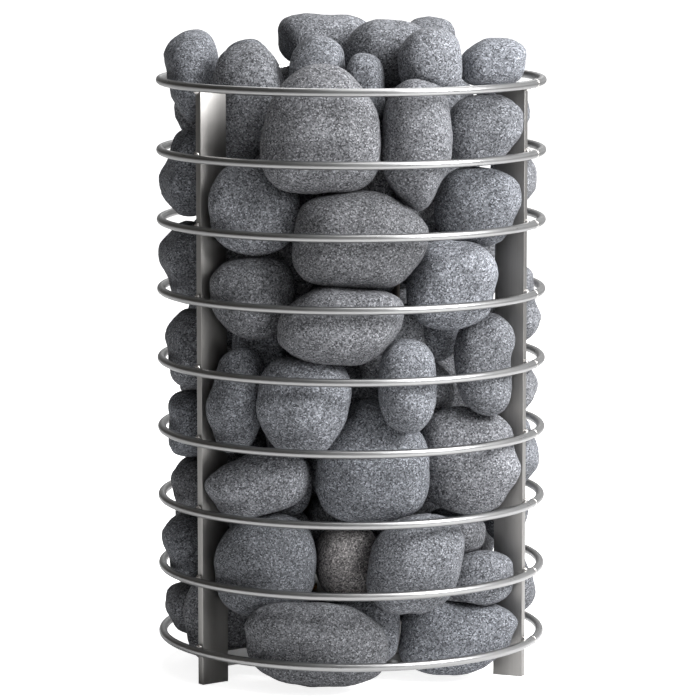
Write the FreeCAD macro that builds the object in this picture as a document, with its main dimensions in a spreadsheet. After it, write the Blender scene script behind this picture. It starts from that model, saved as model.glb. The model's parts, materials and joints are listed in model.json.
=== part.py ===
import FreeCAD, Part
import Sketcher
import math
import os
import random

# Electric hot stone heater: an open cage of round-rod rings welded round three flat-bar posts, filled
# and heaped with rounded stones, with three heating elements standing in the middle of them.
# Millimetres. The origin is on the floor, under the middle of the cage. +Z is up, -Y is the front.
# An azimuth is measured from the front, towards +X.

os.makedirs("parts", exist_ok=True)

doc = FreeCAD.newDocument("hot_stone_heater")
sheet = doc.addObject("Spreadsheet::Sheet", "Sizes")

SIZES = {
    # cage
    "cage_diameter": 380,
    "rod_diameter": 8,
    "ring_count": 9,
    "ring_pitch": 68,
    "bottom_ring_height": 33,
    "post_width": 30,
    "post_thickness": 8,
    "post_turn": 67,
    "bead_radius": 3.4,
    # base
    "plate_diameter": 210,
    "plate_thickness": 3,
    "plate_height": 12,
    "vent_diameter": 12,
    "vent_circle": 166,
    "arm_height": 15,
    "arm_thickness": 6,
    "access_diameter": 76,
    "cover_overlap": 8,
    "cover_thickness": 2,
    "screw_diameter": 4,
    "screw_head": 7,
    "screw_head_height": 2.5,
    # terminal drum
    "drum_diameter": 120,
    "drum_height": 60,
    "drum_wall": 1.5,
    "lid_thickness": 3,
    "block_length": 44,
    "block_width": 15,
    "block_height": 15,
    "lead_diameter": 3,
    "link_thickness": 1.5,
    # heating elements
    "element_rod": 8,
    "element_spread": 32,
    "element_reach": 34,
    "element_height": 385,
    "element_tail": 18,
    "bush_diameter": 12,
    "nut_thickness": 5,
    "pin_diameter": 4,
    "pin_length": 10,
    # cable inlet
    "conduit_turn": 152,
    "conduit_height": 52,
    "conduit_diameter": 25,
    "conduit_wall": 1.5,
    "conduit_end": 164,
    "gland_neck_diameter": 18,
    "gland_neck_length": 9,
    "gland_flange": 5,
    "seal_diameter": 13,
    "cable_diameter": 9,
    # fits
    "fit_gap": 0.1,
    "stone_gap": 1.2,
    "floor_gap": 6,
}
for row, (alias, number) in enumerate(SIZES.items(), start=1):
    sheet.set(f"A{row}", alias)
    sheet.set(f"B{row}", str(number))
    sheet.setAlias(f"B{row}", alias)
doc.recompute()

CAGE_RADIUS = "Sizes.cage_diameter / 2"
ROD_RADIUS = "Sizes.rod_diameter / 2"
RING_RADIUS = f"({CAGE_RADIUS} - {ROD_RADIUS})"
POST_OUTER = f"({CAGE_RADIUS} - Sizes.rod_diameter)"
POST_INNER = f"({POST_OUTER} - Sizes.post_width)"
TOP_RING_HEIGHT = "(Sizes.bottom_ring_height + (Sizes.ring_count - 1) * Sizes.ring_pitch)"
POST_TOP = f"({TOP_RING_HEIGHT} - {ROD_RADIUS})"
PLATE_TOP = "(Sizes.plate_height + Sizes.plate_thickness)"
DRUM_RADIUS = "(Sizes.drum_diameter / 2)"
DRUM_TOP = f"({PLATE_TOP} + Sizes.drum_height)"
LID_TOP = f"({DRUM_TOP} + Sizes.lid_thickness)"
COVER_RADIUS = "(Sizes.access_diameter / 2 + Sizes.cover_overlap)"
INNER_LEG = "(Sizes.element_reach - Sizes.element_spread / 2)"
OUTER_LEG = "(Sizes.element_reach + Sizes.element_spread / 2)"
LEG_BOTTOM = f"({DRUM_TOP} - Sizes.element_tail)"
CONDUIT_RADIUS = "(Sizes.conduit_diameter / 2)"
GLAND_CORNER = f"({CONDUIT_RADIUS} + 1.5)"
NECK_RADIUS = "(Sizes.gland_neck_diameter / 2)"
NECK_START = "(Sizes.conduit_end + Sizes.gland_flange)"
NECK_END = f"({NECK_START} + Sizes.gland_neck_length)"
NUT_WALL = "2"

RING_COUNT = int(sheet.get("ring_count"))
POST_TURN = float(sheet.get("post_turn"))
POST_AZIMUTHS = {"right": POST_TURN, "rear": POST_TURN + 120, "left": POST_TURN - 120}
ELEMENT_AZIMUTHS = {"right": 60, "rear": 180, "left": 300}
PIECES = []


def measure(expression):
    """The present value of an expression over the sheet, in millimetres."""
    return float(sheet.evalExpression(expression))


def piece(item):
    """Mark an object as a sub-part to be written."""
    PIECES.append(item)
    return item


def add(kind, label, at=None, turn=None, **sizes):
    """A primitive whose sizes and place are expressions over the sheet."""
    item = doc.addObject(kind, label)
    item.Label = label
    if turn is not None:
        item.Placement = FreeCAD.Placement(FreeCAD.Vector(), turn)
    for name, expression in sizes.items():
        item.setExpression(name, expression)
    for axis, expression in zip("xyz", at or ()):
        item.setExpression(f"Placement.Base.{axis}", expression)
    return item


def polar(radius, azimuth, height):
    """The expressions of a point at a radius, an azimuth in degrees and a height."""
    sine = math.sin(math.radians(azimuth))
    cosine = math.cos(math.radians(azimuth))
    return (f"{radius} * ({sine:.9f})", f"{radius} * ({-cosine:.9f})", height)


def cut(label, base, *tools):
    """The base less its tools."""
    tool = tools[0] if len(tools) == 1 else group(label + "_tools", tools)
    item = doc.addObject("Part::Cut", label)
    item.Label = label
    item.Base = base
    item.Tool = tool
    return item


def group(label, members):
    """Separate solids in one sub-part."""
    item = doc.addObject("Part::Compound", label)
    item.Label = label
    item.Links = list(members)
    return item


def fuse(label, members):
    """Several shapes made into one solid."""
    item = doc.addObject("Part::MultiFuse", label)
    item.Label = label
    item.Shapes = list(members)
    return item


def facing(azimuth):
    """The turn that takes +X to an azimuth."""
    return FreeCAD.Rotation(FreeCAD.Vector(0, 0, 1), azimuth - 90)


def lying(azimuth):
    """The turn that takes +Z to an azimuth, level."""
    return facing(azimuth).multiply(FreeCAD.Rotation(FreeCAD.Vector(0, 1, 0), 90))


def origin_plane(body, role):
    """One of a body's own origin planes."""
    return next(plane for plane in body.Origin.OriginFeatures if plane.Role == role)


def new_sketch(body, label, role):
    """An empty sketch on one of the body's origin planes."""
    sketch = body.newObject("Sketcher::SketchObject", label)
    sketch.AttachmentSupport = (origin_plane(body, role), [""])
    sketch.MapMode = "FlatFace"
    return sketch


def hold(sketch, kind, expression, *where):
    """A dimension bound to an expression."""
    number = sketch.addConstraint(Sketcher.Constraint(kind, *where, measure(expression)))
    sketch.setExpression(f"Constraints[{number}]", expression)


def outline(sketch, corners):
    """A closed outline through corners given as pairs of expressions."""
    points = [FreeCAD.Vector(measure(across), measure(up), 0) for across, up in corners]
    for start, end in zip(points, points[1:] + points[:1]):
        sketch.addGeometry(Part.LineSegment(start, end))
    for side, (across, up) in enumerate(corners):
        sketch.addConstraint(Sketcher.Constraint("Coincident", side, 2, (side + 1) % len(corners), 1))
        hold(sketch, "DistanceX", across, -1, 1, side, 1)
        hold(sketch, "DistanceY", up, -1, 1, side, 1)


def circle(sketch, radius, across="0"):
    """A circle on the sketch's own X axis."""
    centre = FreeCAD.Vector(measure(across), 0, 0)
    number = sketch.addGeometry(Part.Circle(centre, FreeCAD.Vector(0, 0, 1), measure(radius)))
    hold(sketch, "Radius", radius, number)
    if across == "0":
        sketch.addConstraint(Sketcher.Constraint("Coincident", number, 3, -1, 1))
        return
    sketch.addConstraint(Sketcher.Constraint("PointOnObject", number, 3, -1))
    hold(sketch, "DistanceX", across, -1, 1, number, 3)


# ---------------------------------------------------------------- cage

def make_rings():
    """The round-rod rings, the lowest first."""
    rings = []
    for number in range(RING_COUNT):
        height = f"Sizes.bottom_ring_height + {number} * Sizes.ring_pitch"
        rings.append(piece(add("Part::Torus", f"ring_{number + 1}", ("0", "0", height),
                               Radius1=RING_RADIUS, Radius2=ROD_RADIUS)))
    return rings


def make_post(side, azimuth):
    """An upright flat bar set edge outwards, whose lower end is a foot."""
    body = doc.addObject("PartDesign::Body", f"post_{side}")
    body.Label = f"post_{side}"
    sketch = new_sketch(body, f"post_{side}_face", "XZ_Plane")
    outline(sketch, [(POST_INNER, "0"), (POST_OUTER, "0"), (POST_OUTER, POST_TOP), (POST_INNER, POST_TOP)])
    pad = body.newObject("PartDesign::Pad", f"post_{side}_bar")
    pad.Profile = sketch
    pad.Midplane = True
    pad.setExpression("Length", "Sizes.post_thickness")
    body.Placement = FreeCAD.Placement(FreeCAD.Vector(), facing(azimuth))
    return piece(body)


def make_ring_welds(rings, posts):
    """A bead on top of every ring where it crosses a post, and under the top ring."""
    beads = []
    for side, azimuth in POST_AZIMUTHS.items():
        for number in range(RING_COUNT):
            sign = "-" if number == RING_COUNT - 1 else "+"
            height = (f"Sizes.bottom_ring_height + {number} * Sizes.ring_pitch {sign} 0.9 * {ROD_RADIUS}")
            place = polar(f"({POST_OUTER} + 0.25 * Sizes.bead_radius)", azimuth, height)
            beads.append(add("Part::Sphere", f"bead_{side}_{number + 1}", place, Radius="Sizes.bead_radius"))
    return piece(cut("ring_welds", group("beads", beads), *rings, *posts))


# ---------------------------------------------------------------- base and terminal drum

def make_base_plate():
    """A round steel plate with a ring of vents and an access hole under the terminals."""
    body = doc.addObject("PartDesign::Body", "base_plate")
    body.Label = "base_plate"
    disc = new_sketch(body, "plate_disc", "XY_Plane")
    circle(disc, "Sizes.plate_diameter / 2")
    circle(disc, "Sizes.access_diameter / 2")
    pad = body.newObject("PartDesign::Pad", "plate_pad")
    pad.Profile = disc
    pad.setExpression("Length", "Sizes.plate_thickness")
    vent = new_sketch(body, "vent_hole", "XY_Plane")
    circle(vent, "Sizes.vent_diameter / 2", "Sizes.vent_circle / 2")
    pocket = body.newObject("PartDesign::Pocket", "vent_pocket")
    pocket.Profile = vent
    pocket.Type = "ThroughAll"
    pocket.Midplane = True
    vents = body.newObject("PartDesign::PolarPattern", "vents")
    vents.Originals = [pocket]
    vents.Axis = (vent, ["N_Axis"])
    vents.Angle = 360
    vents.Occurrences = 12
    body.Tip = vents
    body.setExpression("Placement.Base.z", "Sizes.plate_height")
    return piece(body)


def make_arm(side, azimuth):
    """A flat bar on the plate, from the drum to a post's inner edge."""
    length = f"({POST_INNER} - {DRUM_RADIUS} / 2)"
    corner = facing(azimuth).multVec(FreeCAD.Vector(0, -1, 0))
    start = polar(f"{DRUM_RADIUS} / 2", azimuth, PLATE_TOP)
    place = (f"{start[0]} + ({corner.x:.9f}) * Sizes.arm_thickness / 2",
             f"{start[1]} + ({corner.y:.9f}) * Sizes.arm_thickness / 2", PLATE_TOP)
    bar = add("Part::Box", f"arm_bar_{side}", place, facing(azimuth),
              Length=length, Width="Sizes.arm_thickness", Height="Sizes.arm_height")
    core = add("Part::Cylinder", f"arm_core_{side}", ("0", "0", PLATE_TOP),
               Radius=DRUM_RADIUS, Height="Sizes.drum_height")
    return piece(cut(f"arm_{side}", bar, core))


def make_access_cover():
    """The round cover under the base plate, and its screws."""
    screw_circle = f"({COVER_RADIUS} - Sizes.cover_overlap / 2)"
    cover_bottom = "(Sizes.plate_height - Sizes.cover_thickness)"
    disc = add("Part::Cylinder", "cover_disc", ("0", "0", cover_bottom),
               Radius=COVER_RADIUS, Height="Sizes.cover_thickness")
    holes = []
    screws = []
    for number in range(4):
        azimuth = 45 + 90 * number
        place = polar(screw_circle, azimuth, cover_bottom)
        holes.append(add("Part::Cylinder", f"cover_hole_{number + 1}", place,
                         Radius="Sizes.screw_diameter / 2 + Sizes.fit_gap", Height="Sizes.cover_thickness"))
        shank = add("Part::Cylinder", f"screw_shank_{number + 1}", place,
                    Radius="Sizes.screw_diameter / 2", Height="Sizes.cover_thickness")
        head = add("Part::Cylinder", f"screw_head_{number + 1}",
                   polar(screw_circle, azimuth, f"{cover_bottom} - Sizes.screw_head_height"),
                   Radius="Sizes.screw_head / 2", Height="Sizes.screw_head_height")
        screws.append(fuse(f"cover_screw_{number + 1}", [shank, head]))
    piece(cut("access_cover", disc, *holes))
    piece(group("cover_screws", screws))


def make_terminal_drum():
    """The sheet drum round the terminals, with a hole for the cable conduit."""
    outside = add("Part::Cylinder", "drum_outside", ("0", "0", PLATE_TOP),
                  Radius=DRUM_RADIUS, Height="Sizes.drum_height")
    inside = add("Part::Cylinder", "drum_inside", ("0", "0", PLATE_TOP),
                 Radius=f"{DRUM_RADIUS} - Sizes.drum_wall", Height="Sizes.drum_height")
    hole = along_conduit("drum_hole", "0", f"{CONDUIT_RADIUS} + Sizes.fit_gap", "Sizes.drum_diameter")
    return piece(cut("terminal_drum", outside, inside, hole))


def leg_places():
    """The name, azimuth and radius of each of the elements' legs."""
    for side, azimuth in ELEMENT_AZIMUTHS.items():
        yield f"{side}_inner", azimuth, INNER_LEG
        yield f"{side}_outer", azimuth, OUTER_LEG


def make_drum_lid():
    """The plate on the drum that carries the elements."""
    disc = add("Part::Cylinder", "lid_disc", ("0", "0", DRUM_TOP),
               Radius=DRUM_RADIUS, Height="Sizes.lid_thickness")
    holes = [add("Part::Cylinder", f"lid_hole_{name}", polar(radius, azimuth, DRUM_TOP),
                 Radius="Sizes.bush_diameter / 2 + Sizes.fit_gap", Height="Sizes.lid_thickness")
             for name, azimuth, radius in leg_places()]
    return piece(cut("drum_lid", disc, *holes))


def make_element(side, azimuth):
    """A tubular heating element bent to a hairpin."""
    bend_height = f"({LID_TOP} + Sizes.element_height)"
    legs = [add("Part::Cylinder", f"leg_{side}_{name}", polar(radius, azimuth, LEG_BOTTOM),
                Radius="Sizes.element_rod / 2", Height=f"{bend_height} - {LEG_BOTTOM}")
            for name, radius in (("inner", INNER_LEG), ("outer", OUTER_LEG))]
    upright = facing(azimuth).multiply(FreeCAD.Rotation(FreeCAD.Vector(1, 0, 0), 90))
    bend = add("Part::Torus", f"bend_{side}", polar("Sizes.element_reach", azimuth, bend_height), upright,
               Radius1="Sizes.element_spread / 2", Radius2="Sizes.element_rod / 2")
    bend.Angle3 = 180
    return piece(fuse(f"element_{side}", legs + [bend]))


def make_hex_nut(label, place, hole, thickness):
    """A hexagon nut standing on a place, with a plain hole."""
    body = add("Part::Prism", f"{label}_body", place, Circumradius=f"1.6 * {hole}", Height=thickness)
    body.Polygon = 6
    bore = add("Part::Cylinder", f"{label}_bore", place, Radius=f"{hole} + Sizes.fit_gap", Height=thickness)
    return cut(label, body, bore)


def make_element_fittings():
    """Bushes through the lid, nuts above and below it, and a terminal pin under each leg."""
    bushes = []
    upper_nuts = []
    lower_nuts = []
    pins = []
    nut = "Sizes.nut_thickness"
    proud = "2"
    length = f"2 * ({nut} + {proud}) + Sizes.lid_thickness"
    for name, azimuth, radius in leg_places():
        bottom = polar(radius, azimuth, f"{DRUM_TOP} - {nut} - {proud}")
        sleeve = add("Part::Cylinder", f"sleeve_{name}", bottom,
                     Radius="Sizes.bush_diameter / 2", Height=length)
        bore = add("Part::Cylinder", f"sleeve_bore_{name}", bottom,
                   Radius="Sizes.element_rod / 2 + Sizes.fit_gap", Height=length)
        bushes.append(cut(f"bush_{name}", sleeve, bore))
        upper_nuts.append(make_hex_nut(f"upper_nut_{name}", polar(radius, azimuth, LID_TOP),
                                       "Sizes.bush_diameter / 2", nut))
        lower_nuts.append(make_hex_nut(f"lower_nut_{name}", polar(radius, azimuth, f"{DRUM_TOP} - {nut}"),
                                       "Sizes.bush_diameter / 2", nut))
        pins.append(add("Part::Cylinder", f"pin_{name}",
                        polar(radius, azimuth, f"{LEG_BOTTOM} - Sizes.pin_length"),
                        Radius="Sizes.pin_diameter / 2", Height="Sizes.pin_length"))
    piece(group("element_bushes", bushes))
    piece(group("element_nuts", upper_nuts + lower_nuts))
    piece(group("terminal_pins", pins))


def make_star_link():
    """The ring that joins the elements' inner terminals."""
    level = f"({LEG_BOTTOM} - Sizes.pin_length / 2)"
    width = "(Sizes.pin_diameter + 3)"
    disc = add("Part::Cylinder", "link_disc", ("0", "0", level),
               Radius=f"{INNER_LEG} + {width}", Height="Sizes.link_thickness")
    middle = add("Part::Cylinder", "link_middle", ("0", "0", level),
                 Radius=f"{INNER_LEG} - {width}", Height="Sizes.link_thickness")
    holes = [add("Part::Cylinder", f"link_hole_{side}", polar(INNER_LEG, azimuth, level),
                 Radius="Sizes.pin_diameter / 2 + Sizes.fit_gap", Height="Sizes.link_thickness")
             for side, azimuth in ELEMENT_AZIMUTHS.items()]
    return piece(cut("star_link", disc, middle, *holes))


def make_terminal_block():
    """The ceramic block under the lid, its screws, and a lead from each outer terminal pin."""
    inside = f"({DRUM_RADIUS} - Sizes.drum_wall)"
    front = f"(0.9 * {inside})"
    bottom = f"({DRUM_TOP} - Sizes.block_height)"
    piece(add("Part::Box", "terminal_block", ("-Sizes.block_length / 2", f"-{front}", bottom),
              Length="Sizes.block_length", Width="Sizes.block_width", Height="Sizes.block_height"))
    heads = [add("Part::Cylinder", f"terminal_screw_{number + 1}",
                 (f"Sizes.block_length * {across}", f"Sizes.block_width / 2 - {front}", f"{bottom} - 3"),
                 Radius="2.5", Height="3")
             for number, across in enumerate((-0.36, -0.12, 0.12, 0.36))]
    piece(group("terminal_screws", heads))
    radius = measure("Sizes.lead_diameter / 2")
    level = measure(f"{LEG_BOTTOM} - Sizes.pin_length") - radius
    back_of_block = measure(f"Sizes.block_width - {front}")
    leads = []
    for side, across in (("left", -0.36), ("rear", 0.0), ("right", 0.36)):
        azimuth = math.radians(ELEMENT_AZIMUTHS[side])
        reach = measure(OUTER_LEG)
        start = FreeCAD.Vector(reach * math.sin(azimuth), -reach * math.cos(azimuth), level)
        end = FreeCAD.Vector(measure(f"Sizes.block_length * {across}"), back_of_block, level)
        leads.append(Part.makeCylinder(radius, (end - start).Length, start, end - start))
    item = doc.addObject("Part::Feature", "phase_leads")
    item.Label = "phase_leads"
    item.Shape = Part.makeCompound(leads)
    piece(item)


def make_earth_terminal():
    """The earth stud on the base plate, inside the drum, and its nut."""
    reach = f"(({COVER_RADIUS} + {DRUM_RADIUS} - Sizes.drum_wall) / 2 + 1)"
    azimuth = 240
    piece(add("Part::Cylinder", "earth_stud", polar(reach, azimuth, PLATE_TOP), Radius="2", Height="12"))
    piece(make_hex_nut("earth_nut", polar(reach, azimuth, f"{PLATE_TOP} + 3"), "2", "3"))


# ---------------------------------------------------------------- cable inlet

def along_conduit(label, start, radius, length):
    """A cylinder on the conduit's axis, from a distance out from the middle of the heater."""
    azimuth = measure("Sizes.conduit_turn")
    return add("Part::Cylinder", label, polar(start, azimuth, "Sizes.conduit_height"), lying(azimuth),
               Radius=radius, Height=length)


def along_conduit_hex(label, start, radius, length):
    """A hexagon bar on the conduit's axis."""
    azimuth = measure("Sizes.conduit_turn")
    bar = add("Part::Prism", label, polar(start, azimuth, "Sizes.conduit_height"), lying(azimuth),
              Circumradius=radius, Height=length)
    bar.Polygon = 6
    return bar


def make_cable_inlet():
    """The steel conduit through the stones, and the gland at its outer end."""
    start = f"({DRUM_RADIUS} - Sizes.drum_wall - 4)"
    length = f"Sizes.conduit_end - {start}"
    bore = f"({CONDUIT_RADIUS} - Sizes.conduit_wall)"
    piece(cut("cable_conduit", along_conduit("conduit_outside", start, CONDUIT_RADIUS, length),
              along_conduit("conduit_inside", start, bore, length)))

    spigot = along_conduit("gland_spigot", "(Sizes.conduit_end - 10)", f"{bore} - Sizes.fit_gap", "10")
    flange = along_conduit_hex("gland_flange", "Sizes.conduit_end", GLAND_CORNER, "Sizes.gland_flange")
    neck = along_conduit("gland_neck", NECK_START, NECK_RADIUS, "Sizes.gland_neck_length")
    seal_radius = "(Sizes.seal_diameter / 2)"
    way = along_conduit("gland_way", "(Sizes.conduit_end - 10)", f"{seal_radius} + Sizes.fit_gap",
                        "10 + Sizes.gland_flange + Sizes.gland_neck_length")
    piece(cut("gland_body", fuse("gland_blank", [spigot, flange, neck]), way))

    seal_length = "(Sizes.gland_flange + Sizes.gland_neck_length)"
    piece(cut("gland_seal", along_conduit("seal_outside", "Sizes.conduit_end", seal_radius, seal_length),
              along_conduit("seal_inside", "Sizes.conduit_end", "Sizes.cable_diameter / 2", seal_length)))

    neck_length = "Sizes.gland_neck_length"
    nut = along_conduit_hex("gland_nut_bar", NECK_START, f"{NECK_RADIUS} + 4", f"{neck_length} + {NUT_WALL}")
    thread = along_conduit("gland_nut_thread", NECK_START, f"{NECK_RADIUS} + Sizes.fit_gap", neck_length)
    mouth = along_conduit("gland_nut_mouth", NECK_END, "Sizes.cable_diameter / 2 + 1", NUT_WALL)
    piece(cut("gland_nut", nut, thread, mouth))


# ---------------------------------------------------------------- stones

# A stone's control points stand in columns round its own axis and in rows at these latitudes.
# SWELL makes up for the surface passing inside them. Stones are settled with at most PRESS of overlap,
# before they are trimmed apart. A HEAVY stone keeps its place and a LIGHT one gives way.
# The WEDGED stones of the crown, counted from 0, have others leaning on them and don't lift off.
COLUMNS = 12
ROWS = (-90, -76, -52, -26, 0, 26, 52, 76, 90)
SWELL = 1.05
SETTLE_ROUNDS = 20
PRESS = 4.0
LEVEL = 1e-6
LIGHT = 1.0
HEAVY = 0.1
BACK_STONES = 5
CORE_STONES = 3
WEDGED = (4, 5)

# Each stone that shows at the front and the sides, from the top down.
# across, width, depth, back: in cage radii. level: in ring gaps above the bottom ring. tall: in gaps.
# back is how far the stone stands behind the cage, lean tips its top to the right, in degrees,
# and taper is how much narrower its top is than its bottom.
CROWN_STONES = [
    # across level width  tall depth  back  lean taper
    (-0.80, 8.05, 0.31, 1.27, 0.46, 0.00, 3, -0.25),
    (-0.47, 8.23, 0.38, 0.95, 0.36, 0.52, 12, 0.20),
    (-0.59, 7.80, 0.41, 1.62, 0.34, 0.00, 14, 0.05),
    (-0.24, 8.25, 0.53, 0.76, 0.44, 0.62, 0, -0.05),
    (-0.22, 8.09, 0.33, 1.00, 0.28, 0.36, -6, 0.10),
    (-0.01, 7.90, 0.22, 1.00, 0.26, 0.36, 0, 0.10),
    (0.18, 8.36, 0.44, 0.98, 0.40, 0.48, 8, 0.10),
    (0.38, 8.27, 0.34, 0.95, 0.36, 0.24, 0, 0.05),
    (0.40, 8.50, 0.28, 0.70, 0.30, 0.74, 0, 0.10),
    (0.66, 8.10, 0.34, 0.78, 0.34, 0.03, 0, 0.10),
]
FRONT_STONES = [
    # across level width  tall depth  back  lean taper
    (-0.13, 7.45, 0.59, 1.78, 0.42, 0.00, 4, 0.28),
    (0.31, 7.18, 0.37, 1.84, 0.38, 0.00, 0, -0.12),
    (0.73, 7.48, 0.38, 1.02, 0.28, -0.04, 0, 0.00),
    (0.88, 7.48, 0.28, 0.95, 0.50, 0.10, 0, 0.05),
    (-0.82, 6.69, 0.28, 1.32, 0.50, 0.00, 0, 0.00),
    (-0.50, 6.26, 0.48, 1.27, 0.30, 0.00, 12, 0.05),
    (0.04, 5.88, 0.70, 1.42, 0.46, 0.00, 8, 0.10),
    (0.65, 6.31, 0.43, 1.15, 0.30, -0.04, 5, -0.05),
    (0.87, 6.50, 0.24, 0.95, 0.50, 0.10, 0, 0.05),
    (-0.84, 5.30, 0.28, 1.30, 0.50, 0.00, 0, 0.00),
    (-0.52, 5.07, 0.45, 1.17, 0.28, 0.00, 6, 0.00),
    (-0.03, 4.67, 0.64, 1.14, 0.44, 0.00, 0, -0.10),
    (0.13, 4.22, 0.34, 1.30, 0.30, 0.30, -8, 0.00),
    (0.50, 5.19, 0.47, 1.23, 0.34, 0.00, 8, 0.00),
    (0.85, 4.70, 0.22, 1.15, 0.50, 0.05, 0, 0.05),
    (-0.82, 3.97, 0.26, 1.25, 0.50, 0.00, 0, 0.15),
    (-0.60, 3.60, 0.29, 1.45, 0.28, 0.00, 3, -0.05),
    (-0.17, 3.32, 0.49, 1.38, 0.38, 0.00, 6, -0.18),
    (0.25, 3.83, 0.30, 1.28, 0.32, 0.00, 0, -0.05),
    (0.66, 3.95, 0.29, 1.48, 0.30, -0.02, -6, -0.05),
    (0.83, 3.60, 0.22, 1.00, 0.50, 0.10, 0, 0.05),
    (-0.83, 3.05, 0.26, 1.05, 0.50, 0.00, 0, 0.00),
    (-0.50, 2.00, 0.52, 0.90, 0.30, 0.00, -18, 0.00),
    (0.00, 3.16, 0.59, 1.74, 0.40, 0.05, 0, 0.15),
    (0.63, 2.60, 0.55, 1.58, 0.30, 0.00, 0, 0.05),
    (0.86, 2.60, 0.24, 1.10, 0.50, 0.08, 0, 0.00),
    (-0.82, 2.20, 0.26, 0.85, 0.50, 0.00, 0, 0.00),
    (-0.39, 1.54, 0.53, 1.50, 0.42, 0.00, 10, 0.00),
    (-0.07, 1.28, 0.36, 1.00, 0.30, 0.24, 0, 0.00),
    (0.24, 1.32, 0.49, 1.38, 0.40, 0.00, 14, 0.05),
    (0.67, 1.06, 0.36, 0.85, 0.30, -0.02, 0, 0.10),
    (0.56, 1.75, 0.30, 0.65, 0.30, 0.14, 0, 0.00),
    (-0.83, 1.40, 0.26, 1.15, 0.50, 0.00, 0, 0.00),
    (0.90, 1.60, 0.24, 1.05, 0.50, 0.10, 0, 0.05),
    (-0.83, 0.50, 0.28, 0.80, 0.50, 0.00, 0, 0.00),
    (-0.60, 0.22, 0.42, 1.38, 0.28, 0.06, 0, 0.00),
    (-0.16, 0.34, 0.70, 1.22, 0.34, 0.00, -4, 0.00),
    (0.53, 0.21, 0.62, 1.12, 0.36, 0.00, 4, 0.00),
    (0.87, 0.55, 0.24, 1.05, 0.50, 0.10, 0, 0.05),
]


class Stone:
    """A rounded stone held as rows of control points round its centre."""

    def __init__(self, centre, axes, bulge, taper, weight, seed):
        self.centre = centre
        self.axes = axes
        self.bulge = bulge
        self.taper = taper
        self.weight = weight
        self.seed = seed
        self.lift = False
        self.rows = []
        self.reach = math.sqrt(sum(axis.Length ** 2 for axis in axes))

    def span(self, way):
        """How far the stone reaches from its centre along a direction, taken as an ellipsoid."""
        return math.sqrt(sum(axis.dot(way) ** 2 for axis in self.axes))

    def shape(self):
        """Set out the control points round the centre, with a slow unevenness of the stone's own."""
        chance = random.Random(self.seed)
        across, back, up = self.axes
        centre, bulge, taper = self.centre, self.bulge, self.taper
        wave = [(chance.uniform(0.0, 0.05), chance.uniform(0, 360)) for _ in range(3)]
        for latitude in ROWS:
            rise = math.sin(math.radians(latitude))
            spread = math.cos(math.radians(latitude))
            row = []
            for column in range(COLUMNS):
                turn = 360 * column / COLUMNS
                x = spread * math.cos(math.radians(turn))
                y = spread * math.sin(math.radians(turn))
                size = (abs(x) ** bulge + abs(y) ** bulge + abs(rise) ** bulge) ** (-1 / bulge)
                size *= SWELL
                for order, (height, phase) in enumerate(wave, start=1):
                    size *= 1 + height * spread * math.cos(math.radians(order * turn + phase + 40 * rise))
                narrow = 1 - taper * size * rise
                row.append(centre + across * (x * size * narrow) + back * (y * size) + up * (rise * size))
            self.rows.append(row)
        self.tidy_poles()

    def tidy_poles(self):
        """Each end row is one point, and the row next to it is level with it along the stone's own axis."""
        for pole, cap in ((0, 1), (-1, -2)):
            middle = FreeCAD.Vector()
            for point in self.rows[cap]:
                middle += point
            self.rows[pole] = [middle * (1 / COLUMNS)] * COLUMNS

    def points(self):
        return [point for row in self.rows[1:-1] for point in row]

    def support(self, way):
        """How far the stone reaches along a direction."""
        return max(point.dot(way) for point in self.points())

    def trim(self, way, limit):
        """Draw every control point that lies past a plane straight in towards the centre."""
        middle = self.centre.dot(way)
        room = limit - middle
        for row in self.rows[1:-1]:
            for number, point in enumerate(row):
                reach = point.dot(way) - middle
                if reach > room:
                    row[number] = self.centre + (point - self.centre) * (room / reach)
        self.tidy_poles()

    def trim_round(self, radius):
        """Draw every control point that lies outside the cage straight in towards the centre."""
        cx, cy = self.centre.x, self.centre.y
        for row in self.rows[1:-1]:
            for number, point in enumerate(row):
                if math.hypot(point.x, point.y) <= radius:
                    continue
                dx, dy = point.x - cx, point.y - cy
                square = dx * dx + dy * dy
                slope = cx * dx + cy * dy
                rest = cx * cx + cy * cy - radius * radius
                share = (-slope + math.sqrt(slope * slope - square * rest)) / square
                row[number] = self.centre + (point - self.centre) * share
        self.tidy_poles()

    def solid(self):
        """A closed cubic surface through the control points, as a solid."""
        surface = Part.BSplineSurface()
        rows = len(self.rows)
        poles = [[self.rows[row][column] for row in range(rows)] for column in range(COLUMNS)]
        round_knots = list(range(COLUMNS + 1))
        end_knots = list(range(rows - 2))
        surface.buildFromPolesMultsKnots(poles, [1] * (COLUMNS + 1), [4] + [1] * (rows - 4) + [4],
                                         round_knots, end_knots, True, False, 3, 3)
        solid = Part.Solid(Part.Shell([surface.toShape()]))
        if solid.Volume < 0:
            solid.reverse()
        return solid


class Obstacle:
    """A fixed convex piece that stones keep clear of."""

    weight = 0.0
    lift = False

    def __init__(self, corners):
        self.corners = corners
        self.centre = FreeCAD.Vector()
        for corner in corners:
            self.centre += corner * (1 / len(corners))

    def support(self, way):
        return max(corner.dot(way) for corner in self.corners)


def upright_prism(bottom, top, corners):
    """An obstacle from its plan and two heights."""
    return Obstacle([FreeCAD.Vector(x, y, z) for x, y in corners for z in (bottom, top)])


def plan_circle(radius, x=0.0, y=0.0, sides=24):
    """A plan polygon just outside a circle."""
    reach = radius / math.cos(math.pi / sides)
    angles = [2 * math.pi * number / sides for number in range(sides)]
    return [(x + reach * math.cos(angle), y + reach * math.sin(angle)) for angle in angles]


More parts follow.
